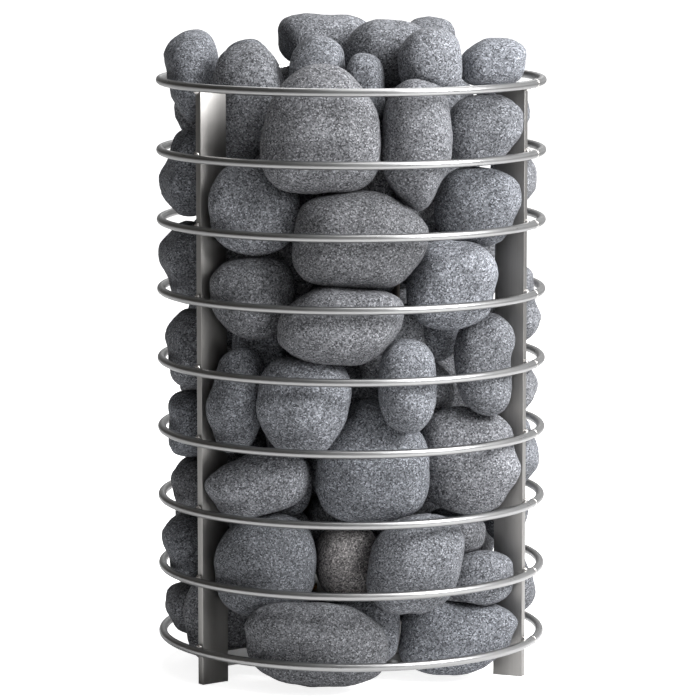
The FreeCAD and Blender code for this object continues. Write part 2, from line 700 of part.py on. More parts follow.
def plan_bar(azimuth, inner, outer, thickness):
    """The plan of a bar that runs outwards at an azimuth."""
    turn = math.radians(azimuth)
    along = (math.sin(turn), -math.cos(turn))
    side = (math.cos(turn), math.sin(turn))
    return [(along[0] * reach + side[0] * offset, along[1] * reach + side[1] * offset)
            for reach in (inner, outer) for offset in (-thickness / 2, thickness / 2)]


def make_obstacles():
    """The posts, base, drum, elements and cable inlet, as convex pieces."""
    obstacles = []
    rod = measure("Sizes.element_rod")
    plate_top = measure(PLATE_TOP)
    for azimuth in POST_AZIMUTHS.values():
        bar = plan_bar(azimuth, measure(POST_INNER), measure(POST_OUTER), measure("Sizes.post_thickness"))
        obstacles.append(upright_prism(0, measure(POST_TOP), bar))
        arm = plan_bar(azimuth, 0, measure(POST_INNER), measure("Sizes.arm_thickness"))
        obstacles.append(upright_prism(plate_top, plate_top + measure("Sizes.arm_height"), arm))
    for azimuth in ELEMENT_AZIMUTHS.values():
        bar = plan_bar(azimuth, measure(INNER_LEG) - rod / 2, measure(OUTER_LEG) + rod / 2, rod)
        top = measure(f"{LID_TOP} + Sizes.element_height + Sizes.element_spread / 2") + rod / 2
        obstacles.append(upright_prism(plate_top, top, bar))
    plate = plan_circle(measure("Sizes.plate_diameter / 2"))
    obstacles.append(upright_prism(0, plate_top, plate))
    fittings_top = measure(f"{LID_TOP} + Sizes.nut_thickness + 2")
    obstacles.append(upright_prism(0, fittings_top, plan_circle(measure(DRUM_RADIUS))))
    turn = measure("Sizes.conduit_turn")
    wide = measure(f"2 * {GLAND_CORNER}")
    middle = measure("Sizes.conduit_height")
    inlet = plan_bar(turn, 0, measure(CAGE_RADIUS), wide)
    obstacles.append(upright_prism(middle - wide / 2, middle + wide / 2, inlet))
    return obstacles


def seat_stone(row, seed):
    """A stone of the front or crown, from its row of the list above."""
    across, level, width, tall, depth, back, lean, taper = row
    radius = measure(CAGE_RADIUS)
    pitch = measure("Sizes.ring_pitch")
    inside = measure(POST_OUTER) / radius
    reach = min(abs(across) + 0.3 * width, inside)
    forward = math.sqrt(inside ** 2 - reach ** 2) - depth / 2 - back
    height = measure("Sizes.bottom_ring_height") + level * pitch
    place = FreeCAD.Vector(across * radius, -forward * radius, height)
    turn = FreeCAD.Rotation(FreeCAD.Vector(0, 1, 0), lean)
    axes = (FreeCAD.Vector(width * radius / 2, 0, 0), FreeCAD.Vector(0, depth * radius / 2, 0),
            FreeCAD.Vector(0, 0, tall * pitch / 2))
    return Stone(place, [turn.multVec(axis) for axis in axes], 2.5, taper / 2, HEAVY, seed)


def ring_stone(azimuth, level, reach, width, depth, tall, lean, seed):
    """A stone of the back or the middle, at a radius from the middle, broad side outwards."""
    radius = measure(CAGE_RADIUS)
    pitch = measure("Sizes.ring_pitch")
    turn = math.radians(azimuth)
    out = FreeCAD.Vector(math.sin(turn), -math.cos(turn), 0)
    side = FreeCAD.Vector(math.cos(turn), math.sin(turn), 0)
    tip = FreeCAD.Rotation(out, lean)
    place = out * (reach * radius)
    place.z = measure("Sizes.bottom_ring_height") + level * pitch
    axes = (side * (width * radius / 2), out * (depth * radius / 2), FreeCAD.Vector(0, 0, tall * pitch / 2))
    return Stone(place, [tip.multVec(axis) for axis in axes], 2.4, 0.0, LIGHT, seed)


def search_directions():
    """Directions spread over the sphere, level ones, and square to the flat pieces."""
    ways = []
    count = 150
    for number in range(count):
        z = 1 - (2 * number + 1) / count
        turn = math.pi * (3 - math.sqrt(5)) * number
        spread = math.sqrt(1 - z * z)
        ways.append(FreeCAD.Vector(spread * math.cos(turn), spread * math.sin(turn), z))
    level = set(range(0, 360, 10))
    bars = [*POST_AZIMUTHS.values(), *ELEMENT_AZIMUTHS.values(), measure("Sizes.conduit_turn")]
    for azimuth in bars:
        level.update(azimuth + quarter for quarter in (0, 90, 180, 270))
    for azimuth in level:
        ways.append(FreeCAD.Vector(math.sin(math.radians(azimuth)), -math.cos(math.radians(azimuth)), 0))
    ways += [FreeCAD.Vector(0, 0, 1), FreeCAD.Vector(0, 0, -1)]
    return ways


def settle(stones, obstacles, ways, inside, floor):
    """Move crowded stones apart, the easily moved ones most, until few of them press on each other."""
    spans = {id(stone): [stone.span(way) for way in ways] for stone in stones}
    edges = {id(body): [-body.support(way * -1) for way in ways] for body in obstacles}
    order = range(len(ways))
    for _ in range(SETTLE_ROUNDS):
        for number, first in enumerate(stones):
            one = spans[id(first)]
            for second in stones[number + 1:]:
                between = second.centre - first.centre
                if between.Length > first.reach + second.reach:
                    continue
                two = spans[id(second)]
                space, best = max((between.dot(ways[k]) - one[k] - two[k], k) for k in order)
                if space < -PRESS:
                    push = ways[best] * ((space + PRESS) / (first.weight + second.weight))
                    first.centre += push * first.weight
                    second.centre -= push * second.weight
            for body in obstacles:
                edge = edges[id(body)]
                space, best = max((edge[k] - first.centre.dot(ways[k]) - one[k], k) for k in order)
                if space < -PRESS:
                    first.centre += ways[best] * (space + PRESS)
        for stone in stones:
            out = FreeCAD.Vector(stone.centre.x, stone.centre.y, 0)
            if out.Length > 1:
                out.normalize()
                over = stone.centre.dot(out) + stone.span(out) - inside - PRESS
                stone.centre -= out * max(over, 0)
            under = floor + stone.span(FreeCAD.Vector(0, 0, 1)) - stone.centre.z - PRESS
            stone.centre.z += max(under, 0)


def separate(stones, obstacles, gap):
    """Leave a gap between every two stones and between each stone and the fixed pieces."""
    ways = search_directions()
    inside = measure(POST_OUTER) - gap
    floor = measure("Sizes.floor_gap")
    settle(stones, obstacles, ways, inside, floor)
    for stone in stones:
        stone.shape()
        stone.trim_round(inside)
        stone.trim(FreeCAD.Vector(0, 0, -1), -floor)
    table = {}

    def supports(body):
        if id(body) not in table:
            table[id(body)] = [(body.support(way), -body.support(way * -1)) for way in ways]
        return table[id(body)]

    bodies = stones + obstacles
    for number, first in enumerate(stones):
        for second in bodies[number + 1:]:
            best = None
            for way, (high, _), (_, low) in zip(ways, supports(first), supports(second)):
                if (first.lift and way.z > LEVEL) or (second.lift and way.z < -LEVEL):
                    continue
                if best is None or low - high > best[0]:
                    best = (low - high, way, high, low)
                    if best[0] >= gap:
                        break
            space, way, high, low = best
            if space >= gap:
                continue
            share = first.weight / (first.weight + second.weight)
            plane = high - (gap - space) * share
            first.trim(way, plane)
            table.pop(id(first))
            if second.weight:
                second.trim(way * -1, -(plane + gap))
                table.pop(id(second))


def make_stones():
    """Every stone, in groups by course, with the loose crown stones one by one."""
    crown = [seat_stone(row, 100 + number) for number, row in enumerate(CROWN_STONES)]
    front = [seat_stone(row, 200 + number) for number, row in enumerate(FRONT_STONES)]
    chance = random.Random(7)
    back = []
    core = []
    courses = RING_COUNT - 1
    for course in range(courses):
        for place in range(BACK_STONES):
            azimuth = 119 + 30.5 * place + (5 if course % 2 else -5) + chance.uniform(-3, 3)
            level = course + 0.40 + chance.uniform(-0.08, 0.08)
            stone = ring_stone(azimuth, level, 0.69, 0.42, 0.50, 1.15, chance.uniform(-18, 18),
                               300 + 10 * course + place)
            (back if course < courses - 1 else crown).append(stone)
        for place in range(CORE_STONES):
            azimuth = 120 * place + chance.uniform(-8, 8)
            level = 0.97 * course + 0.60 + chance.uniform(-0.1, 0.1)
            reach = 0.30 if course == 0 else 0.24
            core.append(ring_stone(azimuth, level, reach, 0.44, 0.44, 1.10, chance.uniform(-15, 15),
                                   500 + 10 * course + place))
        for side, azimuth in enumerate((-40, 42)):
            level = course + 0.5 + chance.uniform(-0.2, 0.2)
            core.append(ring_stone(azimuth, level, 0.46, 0.30, 0.26, 0.95, chance.uniform(-15, 15),
                                   700 + 10 * course + side))
    for number, stone in enumerate(crown):
        stone.lift = number not in WEDGED
    stones = crown + front + back + core
    separate(stones, make_obstacles(), measure("Sizes.stone_gap"))

    loose = [stone for stone in crown if stone.lift]
    for number, stone in enumerate(loose, start=1):
        write_stones(f"crown_stone_{number}", [stone])
    outer = [stone for stone in crown if not stone.lift] + front + back
    pitch = measure("Sizes.ring_pitch")
    bottom = measure("Sizes.bottom_ring_height")
    for course in range(courses):
        members = [stone for stone in outer
                   if min(max(int((stone.centre.z - bottom) / pitch), 0), courses - 1) == course]
        write_stones(f"stones_course_{course + 1}", members)
    write_stones("core_stones", core)


def write_stones(label, members):
    """One sub-part of one or more separate stones."""
    item = doc.addObject("Part::Feature", label)
    item.Label = label
    solids = [stone.solid() for stone in members]
    item.Shape = solids[0] if len(solids) == 1 else Part.makeCompound(solids)
    piece(item)


# ---------------------------------------------------------------- the whole heater

rings = make_rings()
posts = [make_post(side, azimuth) for side, azimuth in POST_AZIMUTHS.items()]
make_ring_welds(rings, posts)
make_base_plate()
for side, azimuth in POST_AZIMUTHS.items():
    make_arm(side, azimuth)
make_access_cover()
make_terminal_drum()
make_drum_lid()
for side, azimuth in ELEMENT_AZIMUTHS.items():
    make_element(side, azimuth)
make_element_fittings()
make_star_link()
make_terminal_block()
make_earth_terminal()
make_cable_inlet()
make_stones()
doc.recompute()

for item in doc.Objects:
    faults = [state for state in item.State if state in ("Invalid", "Error")]
    if faults:
        raise RuntimeError(f"{item.Label} did not build: {faults}")
for item in PIECES:
    if item.Shape.isNull() or not item.Shape.isValid():
        raise RuntimeError(f"{item.Label} has no valid shape")
for item in PIECES:
    item.Shape.exportStep(f"parts/{item.Label}.step")
print(len(PIECES), "sub-parts written")
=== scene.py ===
import json
import math
import random

import bpy
import numpy as np
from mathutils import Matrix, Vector

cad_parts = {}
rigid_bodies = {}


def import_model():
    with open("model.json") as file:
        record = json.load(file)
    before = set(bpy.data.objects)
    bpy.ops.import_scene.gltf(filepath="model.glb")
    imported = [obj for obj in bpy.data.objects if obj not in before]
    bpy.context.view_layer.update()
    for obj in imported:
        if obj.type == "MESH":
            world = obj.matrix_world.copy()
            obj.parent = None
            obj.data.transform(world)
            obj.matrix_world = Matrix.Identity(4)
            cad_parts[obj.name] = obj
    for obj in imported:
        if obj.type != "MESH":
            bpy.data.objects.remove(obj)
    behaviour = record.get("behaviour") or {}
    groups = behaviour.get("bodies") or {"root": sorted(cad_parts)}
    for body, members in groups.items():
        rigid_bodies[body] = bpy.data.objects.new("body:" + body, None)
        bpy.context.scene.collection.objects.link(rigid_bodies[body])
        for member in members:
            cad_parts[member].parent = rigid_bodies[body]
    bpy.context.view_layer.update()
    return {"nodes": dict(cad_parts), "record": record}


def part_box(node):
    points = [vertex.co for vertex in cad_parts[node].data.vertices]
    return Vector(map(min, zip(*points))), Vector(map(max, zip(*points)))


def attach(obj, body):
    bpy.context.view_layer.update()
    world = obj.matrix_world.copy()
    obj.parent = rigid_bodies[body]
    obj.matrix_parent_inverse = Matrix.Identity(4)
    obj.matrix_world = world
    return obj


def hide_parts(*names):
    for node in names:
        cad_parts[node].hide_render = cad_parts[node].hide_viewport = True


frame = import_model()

# A hot stone heater: a welded steel cage packed with granite cobbles round three hairpin elements.
# The frame gives every place. Here the cobbles, the welds and the edges get their finish.

NODES = frame["nodes"]
SLOT_OF = {part["node"]: part["material_slot"] for part in frame["record"]["subparts"]}
BODIES = frame["record"]["behaviour"]["bodies"]
BODY_OF = {node: body for body, names in BODIES.items() for node in names}
MM = 0.001

RING_NODES = sorted(name for name in NODES if name.startswith("ring_") and name != "ring_welds")
RING_LEVELS = [(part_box(name)[0].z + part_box(name)[1].z) / 2 for name in RING_NODES]
ROD_RADIUS = (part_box("ring_1")[1].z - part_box("ring_1")[0].z) / 2
CAGE_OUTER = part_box("ring_1")[1].x
ROD_CIRCLE = CAGE_OUTER - ROD_RADIUS
POST_HALF = 4 * MM
SEAM_TURN = 71.5


# ---------------------------------------------------------------- working on one piece at a time

def pick_none():
    for item in bpy.context.view_layer.objects.selected[:]:
        item.select_set(False)


def pick(*items):
    """Select these objects only, with the first one active."""
    pick_none()
    for item in items:
        item.select_set(True)
    bpy.context.view_layer.objects.active = items[0]


def apply_modifiers(item):
    pick(item)
    for modifier in item.modifiers[:]:
        bpy.ops.object.modifier_apply(modifier=modifier.name)


def copy_of(node, label):
    """A copy of a CAD node's mesh as a new piece, with its loose triangles merged."""
    piece = bpy.data.objects.new(label, NODES[node].data.copy())
    bpy.context.scene.collection.objects.link(piece)
    piece.data.name = label
    piece.data.materials.clear()
    pick(piece)
    bpy.ops.object.mode_set(mode="EDIT")
    bpy.ops.mesh.select_all(action="SELECT")
    bpy.ops.mesh.remove_doubles(threshold=0.02 * MM)
    bpy.ops.object.mode_set(mode="OBJECT")
    return piece


def loose_parts(piece):
    """The piece taken apart into its separate bodies, lowest first."""
    pick(piece)
    bpy.ops.object.mode_set(mode="EDIT")
    bpy.ops.mesh.select_all(action="SELECT")
    bpy.ops.mesh.separate(type="LOOSE")
    bpy.ops.object.mode_set(mode="OBJECT")
    parts = list(bpy.context.selected_objects)
    return sorted(parts, key=lambda part: tuple(round(x, 4) for x in middle(part)))


def points_of(item):
    values = np.empty(len(item.data.vertices) * 3, np.float32)
    item.data.vertices.foreach_get("co", values)
    return values.reshape(-1, 3).astype(float)


def set_points(item, points):
    item.data.vertices.foreach_set("co", points.astype(np.float32).ravel())
    item.data.update()


def middle(item):
    points = points_of(item)
    low, high = points.min(0), points.max(0)
    return Vector((low[2] + high[2], low[0] + high[0], low[1] + high[1])) / 2


def join(parts, label):
    pick(*parts)
    if len(parts) > 1:
        bpy.ops.object.join()
    piece = bpy.context.view_layer.objects.active
    piece.name = label
    piece.data.name = label
    return piece


def finish_piece(piece, material, *nodes):
    """Dress a finished piece and let it stand for its CAD nodes."""
    piece.data.materials.clear()
    piece.data.materials.append(material)
    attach(piece, BODY_OF[nodes[0]])
    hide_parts(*nodes)
    return piece


# ---------------------------------------------------------------- materials

def new_material(name):
    material = bpy.data.materials.new(name)
    material.use_nodes = True
    tree = material.node_tree
    tree.nodes.clear()
    output = tree.nodes.new("ShaderNodeOutputMaterial")
    shader = tree.nodes.new("ShaderNodeBsdfPrincipled")
    tree.links.new(shader.outputs["BSDF"], output.inputs["Surface"])
    return material, tree, shader


def node(tree, kind, inputs=None, **settings):
    """A node with its settings, and with a value or a link on each input named."""
    made = tree.nodes.new(kind)
    for key, value in settings.items():
        setattr(made, key, value)
    for key, value in (inputs or {}).items():
        plug(tree, made.inputs[key], value)
    return made


def plug(tree, socket, value):
    if isinstance(value, bpy.types.NodeSocket):
        tree.links.new(value, socket)
    else:
        socket.default_value = value


def place(tree):
    return tree.nodes.new("ShaderNodeTexCoord").outputs["Object"]


def ramp(tree, factor, *stops, hard=False):
    """A colour ramp. A stop is a place and a grey, or a place and a colour."""
    made = node(tree, "ShaderNodeValToRGB", {"Fac": factor})
    made.color_ramp.interpolation = "CONSTANT" if hard else "LINEAR"
    elements = made.color_ramp.elements
    while len(elements) < len(stops):
        elements.new(0.5)
    for element, (where, colour) in zip(elements, stops):
        element.position = where
        element.color = (*colour, 1) if isinstance(colour, tuple) else (colour, colour, colour, 1)
    return made.outputs["Color"]


def noise(tree, vector, scale, detail=2.0, rough=0.5):
    made = node(tree, "ShaderNodeTexNoise", {"Vector": vector, "Scale": scale, "Detail": detail,
                                             "Roughness": rough})
    return made.outputs["Fac"]


def cells(tree, vector, scale, feature="F1"):
    return node(tree, "ShaderNodeTexVoronoi", {"Vector": vector, "Scale": scale}, feature=feature)


def multiply(tree, first, second, share=1.0):
    made = node(tree, "ShaderNodeMix", data_type="RGBA", blend_type="MULTIPLY")
    plug(tree, made.inputs[0], share)
    plug(tree, made.inputs[6], first)
    plug(tree, made.inputs[7], second)
    return made.outputs[2]


def mixed(tree, factor, first, second):
    made = node(tree, "ShaderNodeMix", data_type="RGBA", blend_type="MIX")
    plug(tree, made.inputs[0], factor)
    plug(tree, made.inputs[6], first)
    plug(tree, made.inputs[7], second)
    return made.outputs[2]


def sums(tree, operation, *values):
    made = tree.nodes.new("ShaderNodeMath")
    made.operation = operation
    for socket, value in zip(made.inputs, values):
        plug(tree, socket, value)
    return made.outputs[0]


def bump(tree, height, distance, strength=1.0, normal=None):
    inputs = {"Height": height, "Distance": distance, "Strength": strength}
    if normal is not None:
        inputs["Normal"] = normal
    return node(tree, "ShaderNodeBump", inputs).outputs["Normal"]


def granite():
    """Salt-and-pepper granite, tumbled smooth and dry, with pits where grains have gone."""
    material, tree, shader = new_material("granite")
    spot = place(tree)
    grain = node(tree, "ShaderNodeSeparateColor", {"Color": cells(tree, spot, 820).outputs["Color"]})
    minerals = ramp(tree, grain.outputs["Red"],
                    (0.0, (0.056, 0.058, 0.065)), (0.16, (0.118, 0.123, 0.136)),
                    (0.42, (0.190, 0.197, 0.216)), (0.72, (0.276, 0.286, 0.312)),
                    (0.92, (0.420, 0.433, 0.470)), hard=True)
    dust = ramp(tree, noise(tree, spot, 1500, 3, 0.7), (0.30, 0.66), (0.70, 1.0))
    cloud = ramp(tree, noise(tree, spot, 26, 4, 0.6), (0.30, 0.80), (0.70, 1.0))
    # Each stone's tint: its own tone, with painted light and painted shade on some front cobbles.
    tint = node(tree, "ShaderNodeAttribute", attribute_type="GEOMETRY", attribute_name="stone_tone_and_painted_light")
    colour = multiply(tree, multiply(tree, minerals, dust), cloud)
    colour = multiply(tree, colour, tint.outputs["Color"])
    tree.links.new(colour, shader.inputs["Base Color"])
    tree.links.new(ramp(tree, noise(tree, spot, 420, 2), (0.3, 0.72), (0.7, 0.92)), shader.inputs["Roughness"])
    shader.inputs["Specular IOR Level"].default_value = 0.35
    pits = ramp(tree, cells(tree, spot, 260).outputs["Distance"], (0.0, 0.0), (0.22, 1.0))
    rough = bump(tree, noise(tree, spot, 900, 3, 0.65), 0.5 * MM, 0.7)
    rough = bump(tree, pits, 0.25 * MM, 0.5, rough)
    rough = bump(tree, noise(tree, spot, 150, 3, 0.6), 1.0 * MM, 0.5, rough)
    tree.links.new(rough, shader.inputs["Normal"])
    return material


def metal(name, colour, roughness, streaks, grain=0.03 * MM, spread=0.08, stain=(1.0, 1.0, 1.0)):
    """Drawn or rolled metal. streaks says how the fine lines run: round, up, or none."""
    material, tree, shader = new_material(name)
    spot = place(tree)
    shader.inputs["Metallic"].default_value = 1.0
    across, along = 1400.0, 14.0
    if streaks == "round":
        parts = node(tree, "ShaderNodeSeparateXYZ", {"Vector": spot})
        turn = sums(tree, "ARCTAN2", parts.outputs["Y"], parts.outputs["X"])
        flat = node(tree, "ShaderNodeCombineXYZ", {"X": parts.outputs["X"], "Y": parts.outputs["Y"]})
        reach = node(tree, "ShaderNodeVectorMath", {0: flat.outputs[0]}, operation="LENGTH").outputs["Value"]
        lines = node(tree, "ShaderNodeCombineXYZ", {
            "X": sums(tree, "MULTIPLY", turn, 0.186 * along), "Y": sums(tree, "MULTIPLY", reach, across),
            "Z": sums(tree, "MULTIPLY", parts.outputs["Z"], across)}).outputs[0]
    else:
        stretch = (across, across, along) if streaks == "up" else (across, across, across)
        lines = node(tree, "ShaderNodeMapping", {"Vector": spot, "Scale": stretch}).outputs[0]
    drawn = noise(tree, lines, 1.0, 3, 0.6)
    blotch = noise(tree, spot, 30, 3, 0.6)
    shade = multiply(tree, (*colour, 1), ramp(tree, blotch, (0.3, stain), (0.7, 1.0)))
    shade = multiply(tree, shade, ramp(tree, drawn, (0.3, 0.88), (0.7, 1.0)))
    tree.links.new(shade, shader.inputs["Base Color"])
    low, high = roughness - spread, roughness + spread
    level = mixed(tree, 0.5, ramp(tree, drawn, (0.3, low), (0.7, high)), ramp(tree, blotch, (0.3, low), (0.7, high)))
    tree.links.new(level, shader.inputs["Roughness"])
    tree.links.new(bump(tree, drawn, grain, 0.6), shader.inputs["Normal"])
    return material


def matt(name, colour, roughness, scale=600, depth=0.1 * MM, fade=0.85):
    """Rubber, ceramic or sleeving: one colour with a fine uneven skin."""
    material, tree, shader = new_material(name)
    spot = place(tree)
    skin = noise(tree, spot, scale, 3, 0.6)
    shade = multiply(tree, (*colour, 1), ramp(tree, noise(tree, spot, 60, 3), (0.3, fade), (0.7, 1.0)))
    tree.links.new(shade, shader.inputs["Base Color"])
    tree.links.new(ramp(tree, skin, (0.3, roughness - 0.08), (0.7, roughness + 0.08)), shader.inputs["Roughness"])
    tree.links.new(bump(tree, skin, depth, 0.4), shader.inputs["Normal"])
    return material


GRANITE = granite()
ROD_STEEL = metal("ring rod steel", (0.36, 0.360, 0.362), 0.32, "round")
POST_STEEL = metal("post bar steel", (0.31, 0.302, 0.293), 0.40, "up")
WELD_STEEL = metal("weld bead steel", (0.66, 0.64, 0.62), 0.24, "none", 0.15 * MM)
FINISHES = {
    "cage_steel": POST_STEEL,
    "base_steel": metal("base plate steel", (0.52, 0.52, 0.52), 0.36, "none"),
    "screw_steel": metal("screw steel", (0.55, 0.55, 0.56), 0.28, "none"),
    "element_sheath": metal("element sheath", (0.20, 0.18, 0.16), 0.48, "up", stain=(0.75, 0.62, 0.50)),
    "brass": metal("brass", (0.72, 0.50, 0.22), 0.30, "none"),
    "seal_rubber": matt("seal rubber", (0.020, 0.020, 0.021), 0.62),
    "lead_sleeve": matt("lead sleeve", (0.42, 0.33, 0.26), 0.58),
    "ceramic": matt("ceramic", (0.78, 0.75, 0.69), 0.42, fade=0.92),
}


# ---------------------------------------------------------------- cobbles

def cloud_texture(label, size, depth):
    texture = bpy.data.textures.new(label, "CLOUDS")
    texture.noise_scale = size
    texture.noise_depth = depth
    return texture


def cell_texture(label, size):
    texture = bpy.data.textures.new(label, "VORONOI")
    texture.noise_scale = size
    return texture


SWELLS = cloud_texture("swells", 0.050, 1)
DENTS = cell_texture("dents", 0.034)
PITTING = cloud_texture("pitting", 0.009, 3)


def displace(item, texture, height, still):
    """Push the surface out along its normals. still is the texture's value that stays put."""
    modifier = item.modifiers.new(texture.name, "DISPLACE")
    modifier.texture = texture
    modifier.texture_coords = "LOCAL"
    modifier.strength = height
    modifier.mid_level = still


def press_between_rings(item):
    """The outer face of a cobble bulges a little between two rings, and keeps inside the rod's outer edge."""
    points = points_of(item)
    reach = np.hypot(points[:, 0], points[:, 1])
    level = np.full(len(points), 1.0)
    for ring in RING_LEVELS:
        off = np.abs(points[:, 2] - ring)
        level = np.minimum(level, np.clip((off - ROD_RADIUS - 1.5 * MM) / (22 * MM), 0, 1))
    level = level * level * (3 - 2 * level)
    near = np.clip((reach - 166 * MM) / (14 * MM), 0, 1)
    grown = 1 + level * near * near * 7.5 * MM / np.maximum(reach, MM)
    grown = np.minimum(grown, (CAGE_OUTER - 0.8 * MM) / np.maximum(reach, MM))
    points[:, 0] *= np.where(near > 0, grown, 1)
    points[:, 1] *= np.where(near > 0, grown, 1)
    set_points(item, points)


def looks(ne, se, sw, nw, shade=1.0, warm=None):
    """How a front cobble looks.

    ne, se, sw, nw: how full each corner of its outline is, where 0.71 is an ellipse and 1 a square.
    shade: how light it is against its neighbours, partly its own tone and partly painted light and painted shade
    standing in for how the key light falls across the pile. warm: how brown, where None leaves it to chance.
    """
    return {"corners": (ne, se, sw, nw), "shade": shade, "warm": warm}


# Shade factors for front cobbles: partly the stones' own tone, partly painted light and painted shade standing in
# for how the key light falls across the pile.
LIGHTER_AND_LIT = 1.2
DARKER_AND_SHADED = 0.75
BROWN = 0.09
EGG = (0.76, 0.76, 0.76, 0.76)
# The front cobbles of each node, from left to right. Their places and sizes are the frame's.
FRONT_COBBLES = {
    "crown_stone_1": [looks(0.78, 0.64, 0.60, 0.74)],
    "crown_stone_2": [looks(0.62, 0.72, 0.72, 0.74, shade=DARKER_AND_SHADED)],
    "crown_stone_3": [looks(0.72, 0.66, 0.80, 0.72)],
    "crown_stone_4": [looks(0.82, 0.70, 0.75, 0.84)],
    "crown_stone_5": [looks(0.80, 0.76, 0.76, 0.72)],
    "crown_stone_6": [looks(0.76, 0.78, 0.76, 0.70)],
    "crown_stone_7": [looks(*EGG)],
    "crown_stone_8": [looks(0.80, 0.80, 0.80, 0.62, shade=LIGHTER_AND_LIT)],
    "stones_course_8": [
        looks(0.76, 0.76, 0.80, 0.70), looks(0.67, 0.82, 0.82, 0.67), looks(*EGG),
        looks(0.78, 0.63, 0.68, 0.75), looks(0.84, 0.70, 0.70, 0.72)],
    "stones_course_7": [looks(0.67, 0.73, 0.76, 0.80), looks(0.80, 0.74, 0.78, 0.73)],
    "stones_course_6": [
        looks(0.82, 0.74, 0.68, 0.77, shade=DARKER_AND_SHADED), looks(0.68, 0.71, 0.80, 0.79, shade=DARKER_AND_SHADED),
        looks(0.79, 0.74, 0.77, 0.75, shade=LIGHTER_AND_LIT)],
    "stones_course_5": [
        looks(0.82, 0.68, 0.74, 0.67), looks(*EGG), looks(0.80, 0.76, 0.69, 0.74)],
    "stones_course_4": [
        looks(0.82, 0.70, 0.80, 0.71), looks(0.83, 0.67, 0.71, 0.80), looks(0.77, 0.73, 0.74, 0.76)],
    "stones_course_3": [
        looks(0.82, 0.67, 0.80, 0.62), looks(0.64, 0.80, 0.84, 0.63),
        looks(0.78, 0.77, 0.72, 0.75, shade=LIGHTER_AND_LIT)],
    "stones_course_2": [
        looks(0.78, 0.74, 0.77, 0.72, shade=DARKER_AND_SHADED),
        looks(*EGG, warm=BROWN), looks(0.84, 0.71, 0.82, 0.67),
        looks(*EGG)],
    "stones_course_1": [
        looks(0.76, 0.76, 0.80, 0.74),
        looks(0.70, 0.80, 0.73, 0.84, shade=DARKER_AND_SHADED), looks(0.82, 0.66, 0.80, 0.81),
        looks(0.76, 0.74, 0.74, 0.72)],
}
FRONT_LINE = -0.16 * CAGE_OUTER
CORE_SWELL = 1.14


def box_of(item):
    points = points_of(item)
    return points.min(0), points.max(0)


def front_looks(name, parts):
    """The looks of each cobble of a node that stands at the front, by the cobble's name."""
    middles = {part.name: sum(box_of(part)) / 2 for part in parts}
    front = [label for label in middles if len(parts) == 1 or middles[label][1] < FRONT_LINE]
    front.sort(key=lambda label: middles[label][0])
    return dict(zip(front, FRONT_COBBLES.get(name, [])))


def lay_outline(item, home, look):
    """Bring a cobble back to its box in the frame, and fill or cut its outline's corners."""
    points = points_of(item)
    lowest, highest = points.min(0), points.max(0)
    shape = (points - (lowest + highest) / 2) / ((highest - lowest) / 2)
    turn = np.arctan2(shape[:, 2], shape[:, 0])
    grow = np.ones(len(points))
    for fullness, side, rise in zip(look["corners"], (1, 1, -1, -1), (1, -1, -1, 1)):
        present = np.max(side * shape[:, 0] + rise * shape[:, 2]) / 2
        inside = (side * np.cos(turn) > 0) & (rise * np.sin(turn) > 0)
        grow += np.where(inside, np.sin(2 * turn) ** 2 * (fullness / present - 1), 0)
    for axis in (0, 2):
        grown = shape[:, axis] * grow
        share = (grown - grown.min()) / (grown.max() - grown.min())
        points[:, axis] = home[0][axis] + share * (home[1][axis] - home[0][axis])
    set_points(item, points)


def lean_on_posts(item):
    """Keep a front cobble on the front side of the posts, flat against the bar where it meets it."""
    points = points_of(item)
    centre = (points.min(0) + points.max(0)) / 2
    for side in ("left", "right"):
        low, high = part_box(f"post_{side}")
        along = np.array([low.x + high.x, low.y + high.y, 0])
        along /= np.linalg.norm(along)
        front = np.array([along[1], -along[0], 0]) * (-1 if along[0] < 0 else 1)
        if centre @ front < 0:
            continue
        reach = points @ along
        near = np.clip((reach - 128 * MM) / (20 * MM), 0, 1)
        near *= np.clip((high.z + 6 * MM - points[:, 2]) / (12 * MM), 0, 1)
        short = np.maximum(POST_HALF + 0.6 * MM - points @ front, 0) * near
        points += short[:, None] * front
    set_points(item, points)


def swell(item, factor):
    """Make one stone larger about its own middle."""
    points = points_of(item)
    centre = (points.min(0) + points.max(0)) / 2
    set_points(item, centre + (points - centre) * factor)


def cobble(item, voxel, chance, look, factor):
    """Turn one smooth stone into a tumbled granite cobble."""
    swell(item, factor)
    home = box_of(item)
    even = item.modifiers.new("even", "REMESH")
    even.mode = "VOXEL"
    even.voxel_size = voxel
    even.use_smooth_shade = True
    relax = item.modifiers.new("relax", "SMOOTH")
    relax.factor = 0.5
    relax.iterations = 3
    displace(item, SWELLS, 5.0 * MM, 0.62)
    displace(item, DENTS, 3.0 * MM, 0.80)
    displace(item, PITTING, 0.9 * MM, 0.60)
    apply_modifiers(item)
    if look:
        lay_outline(item, home, look)
        lean_on_posts(item)
    press_between_rings(item)
    grey = chance.uniform(0.82, 1.08)
    warm = chance.uniform(-0.02, 0.02)
    # A front cobble's shade factor adds painted light and painted shade to its tint, on top of its own tone.
    if look:
        grey *= look["shade"]
        warm = warm if look["warm"] is None else look["warm"]
    paint(item, (grey * (1 + warm), grey, grey * (1 - warm)))


def paint(item, colour):
    """Give every point of a stone its tint: its own tone, with painted light and painted shade on some front
    cobbles.
    """
    tint = item.data.attributes.new("stone_tone_and_painted_light", "FLOAT_COLOR", "POINT")
    values = np.tile((*colour, 1.0), len(item.data.vertices)).astype(np.float32)
    tint.data.foreach_set("color", values)


def make_cobbles(name, label, voxel, seed, factor=1.0):
    """All the cobbles of one node, as one piece."""
    chance = random.Random(seed)
    parts = loose_parts(copy_of(name, label))
    known = front_looks(name, parts)
    for part in parts:
        cobble(part, voxel, chance, known.get(part.name), factor)
    return finish_piece(join(parts, label), GRANITE, name)


# ---------------------------------------------------------------- cage and base

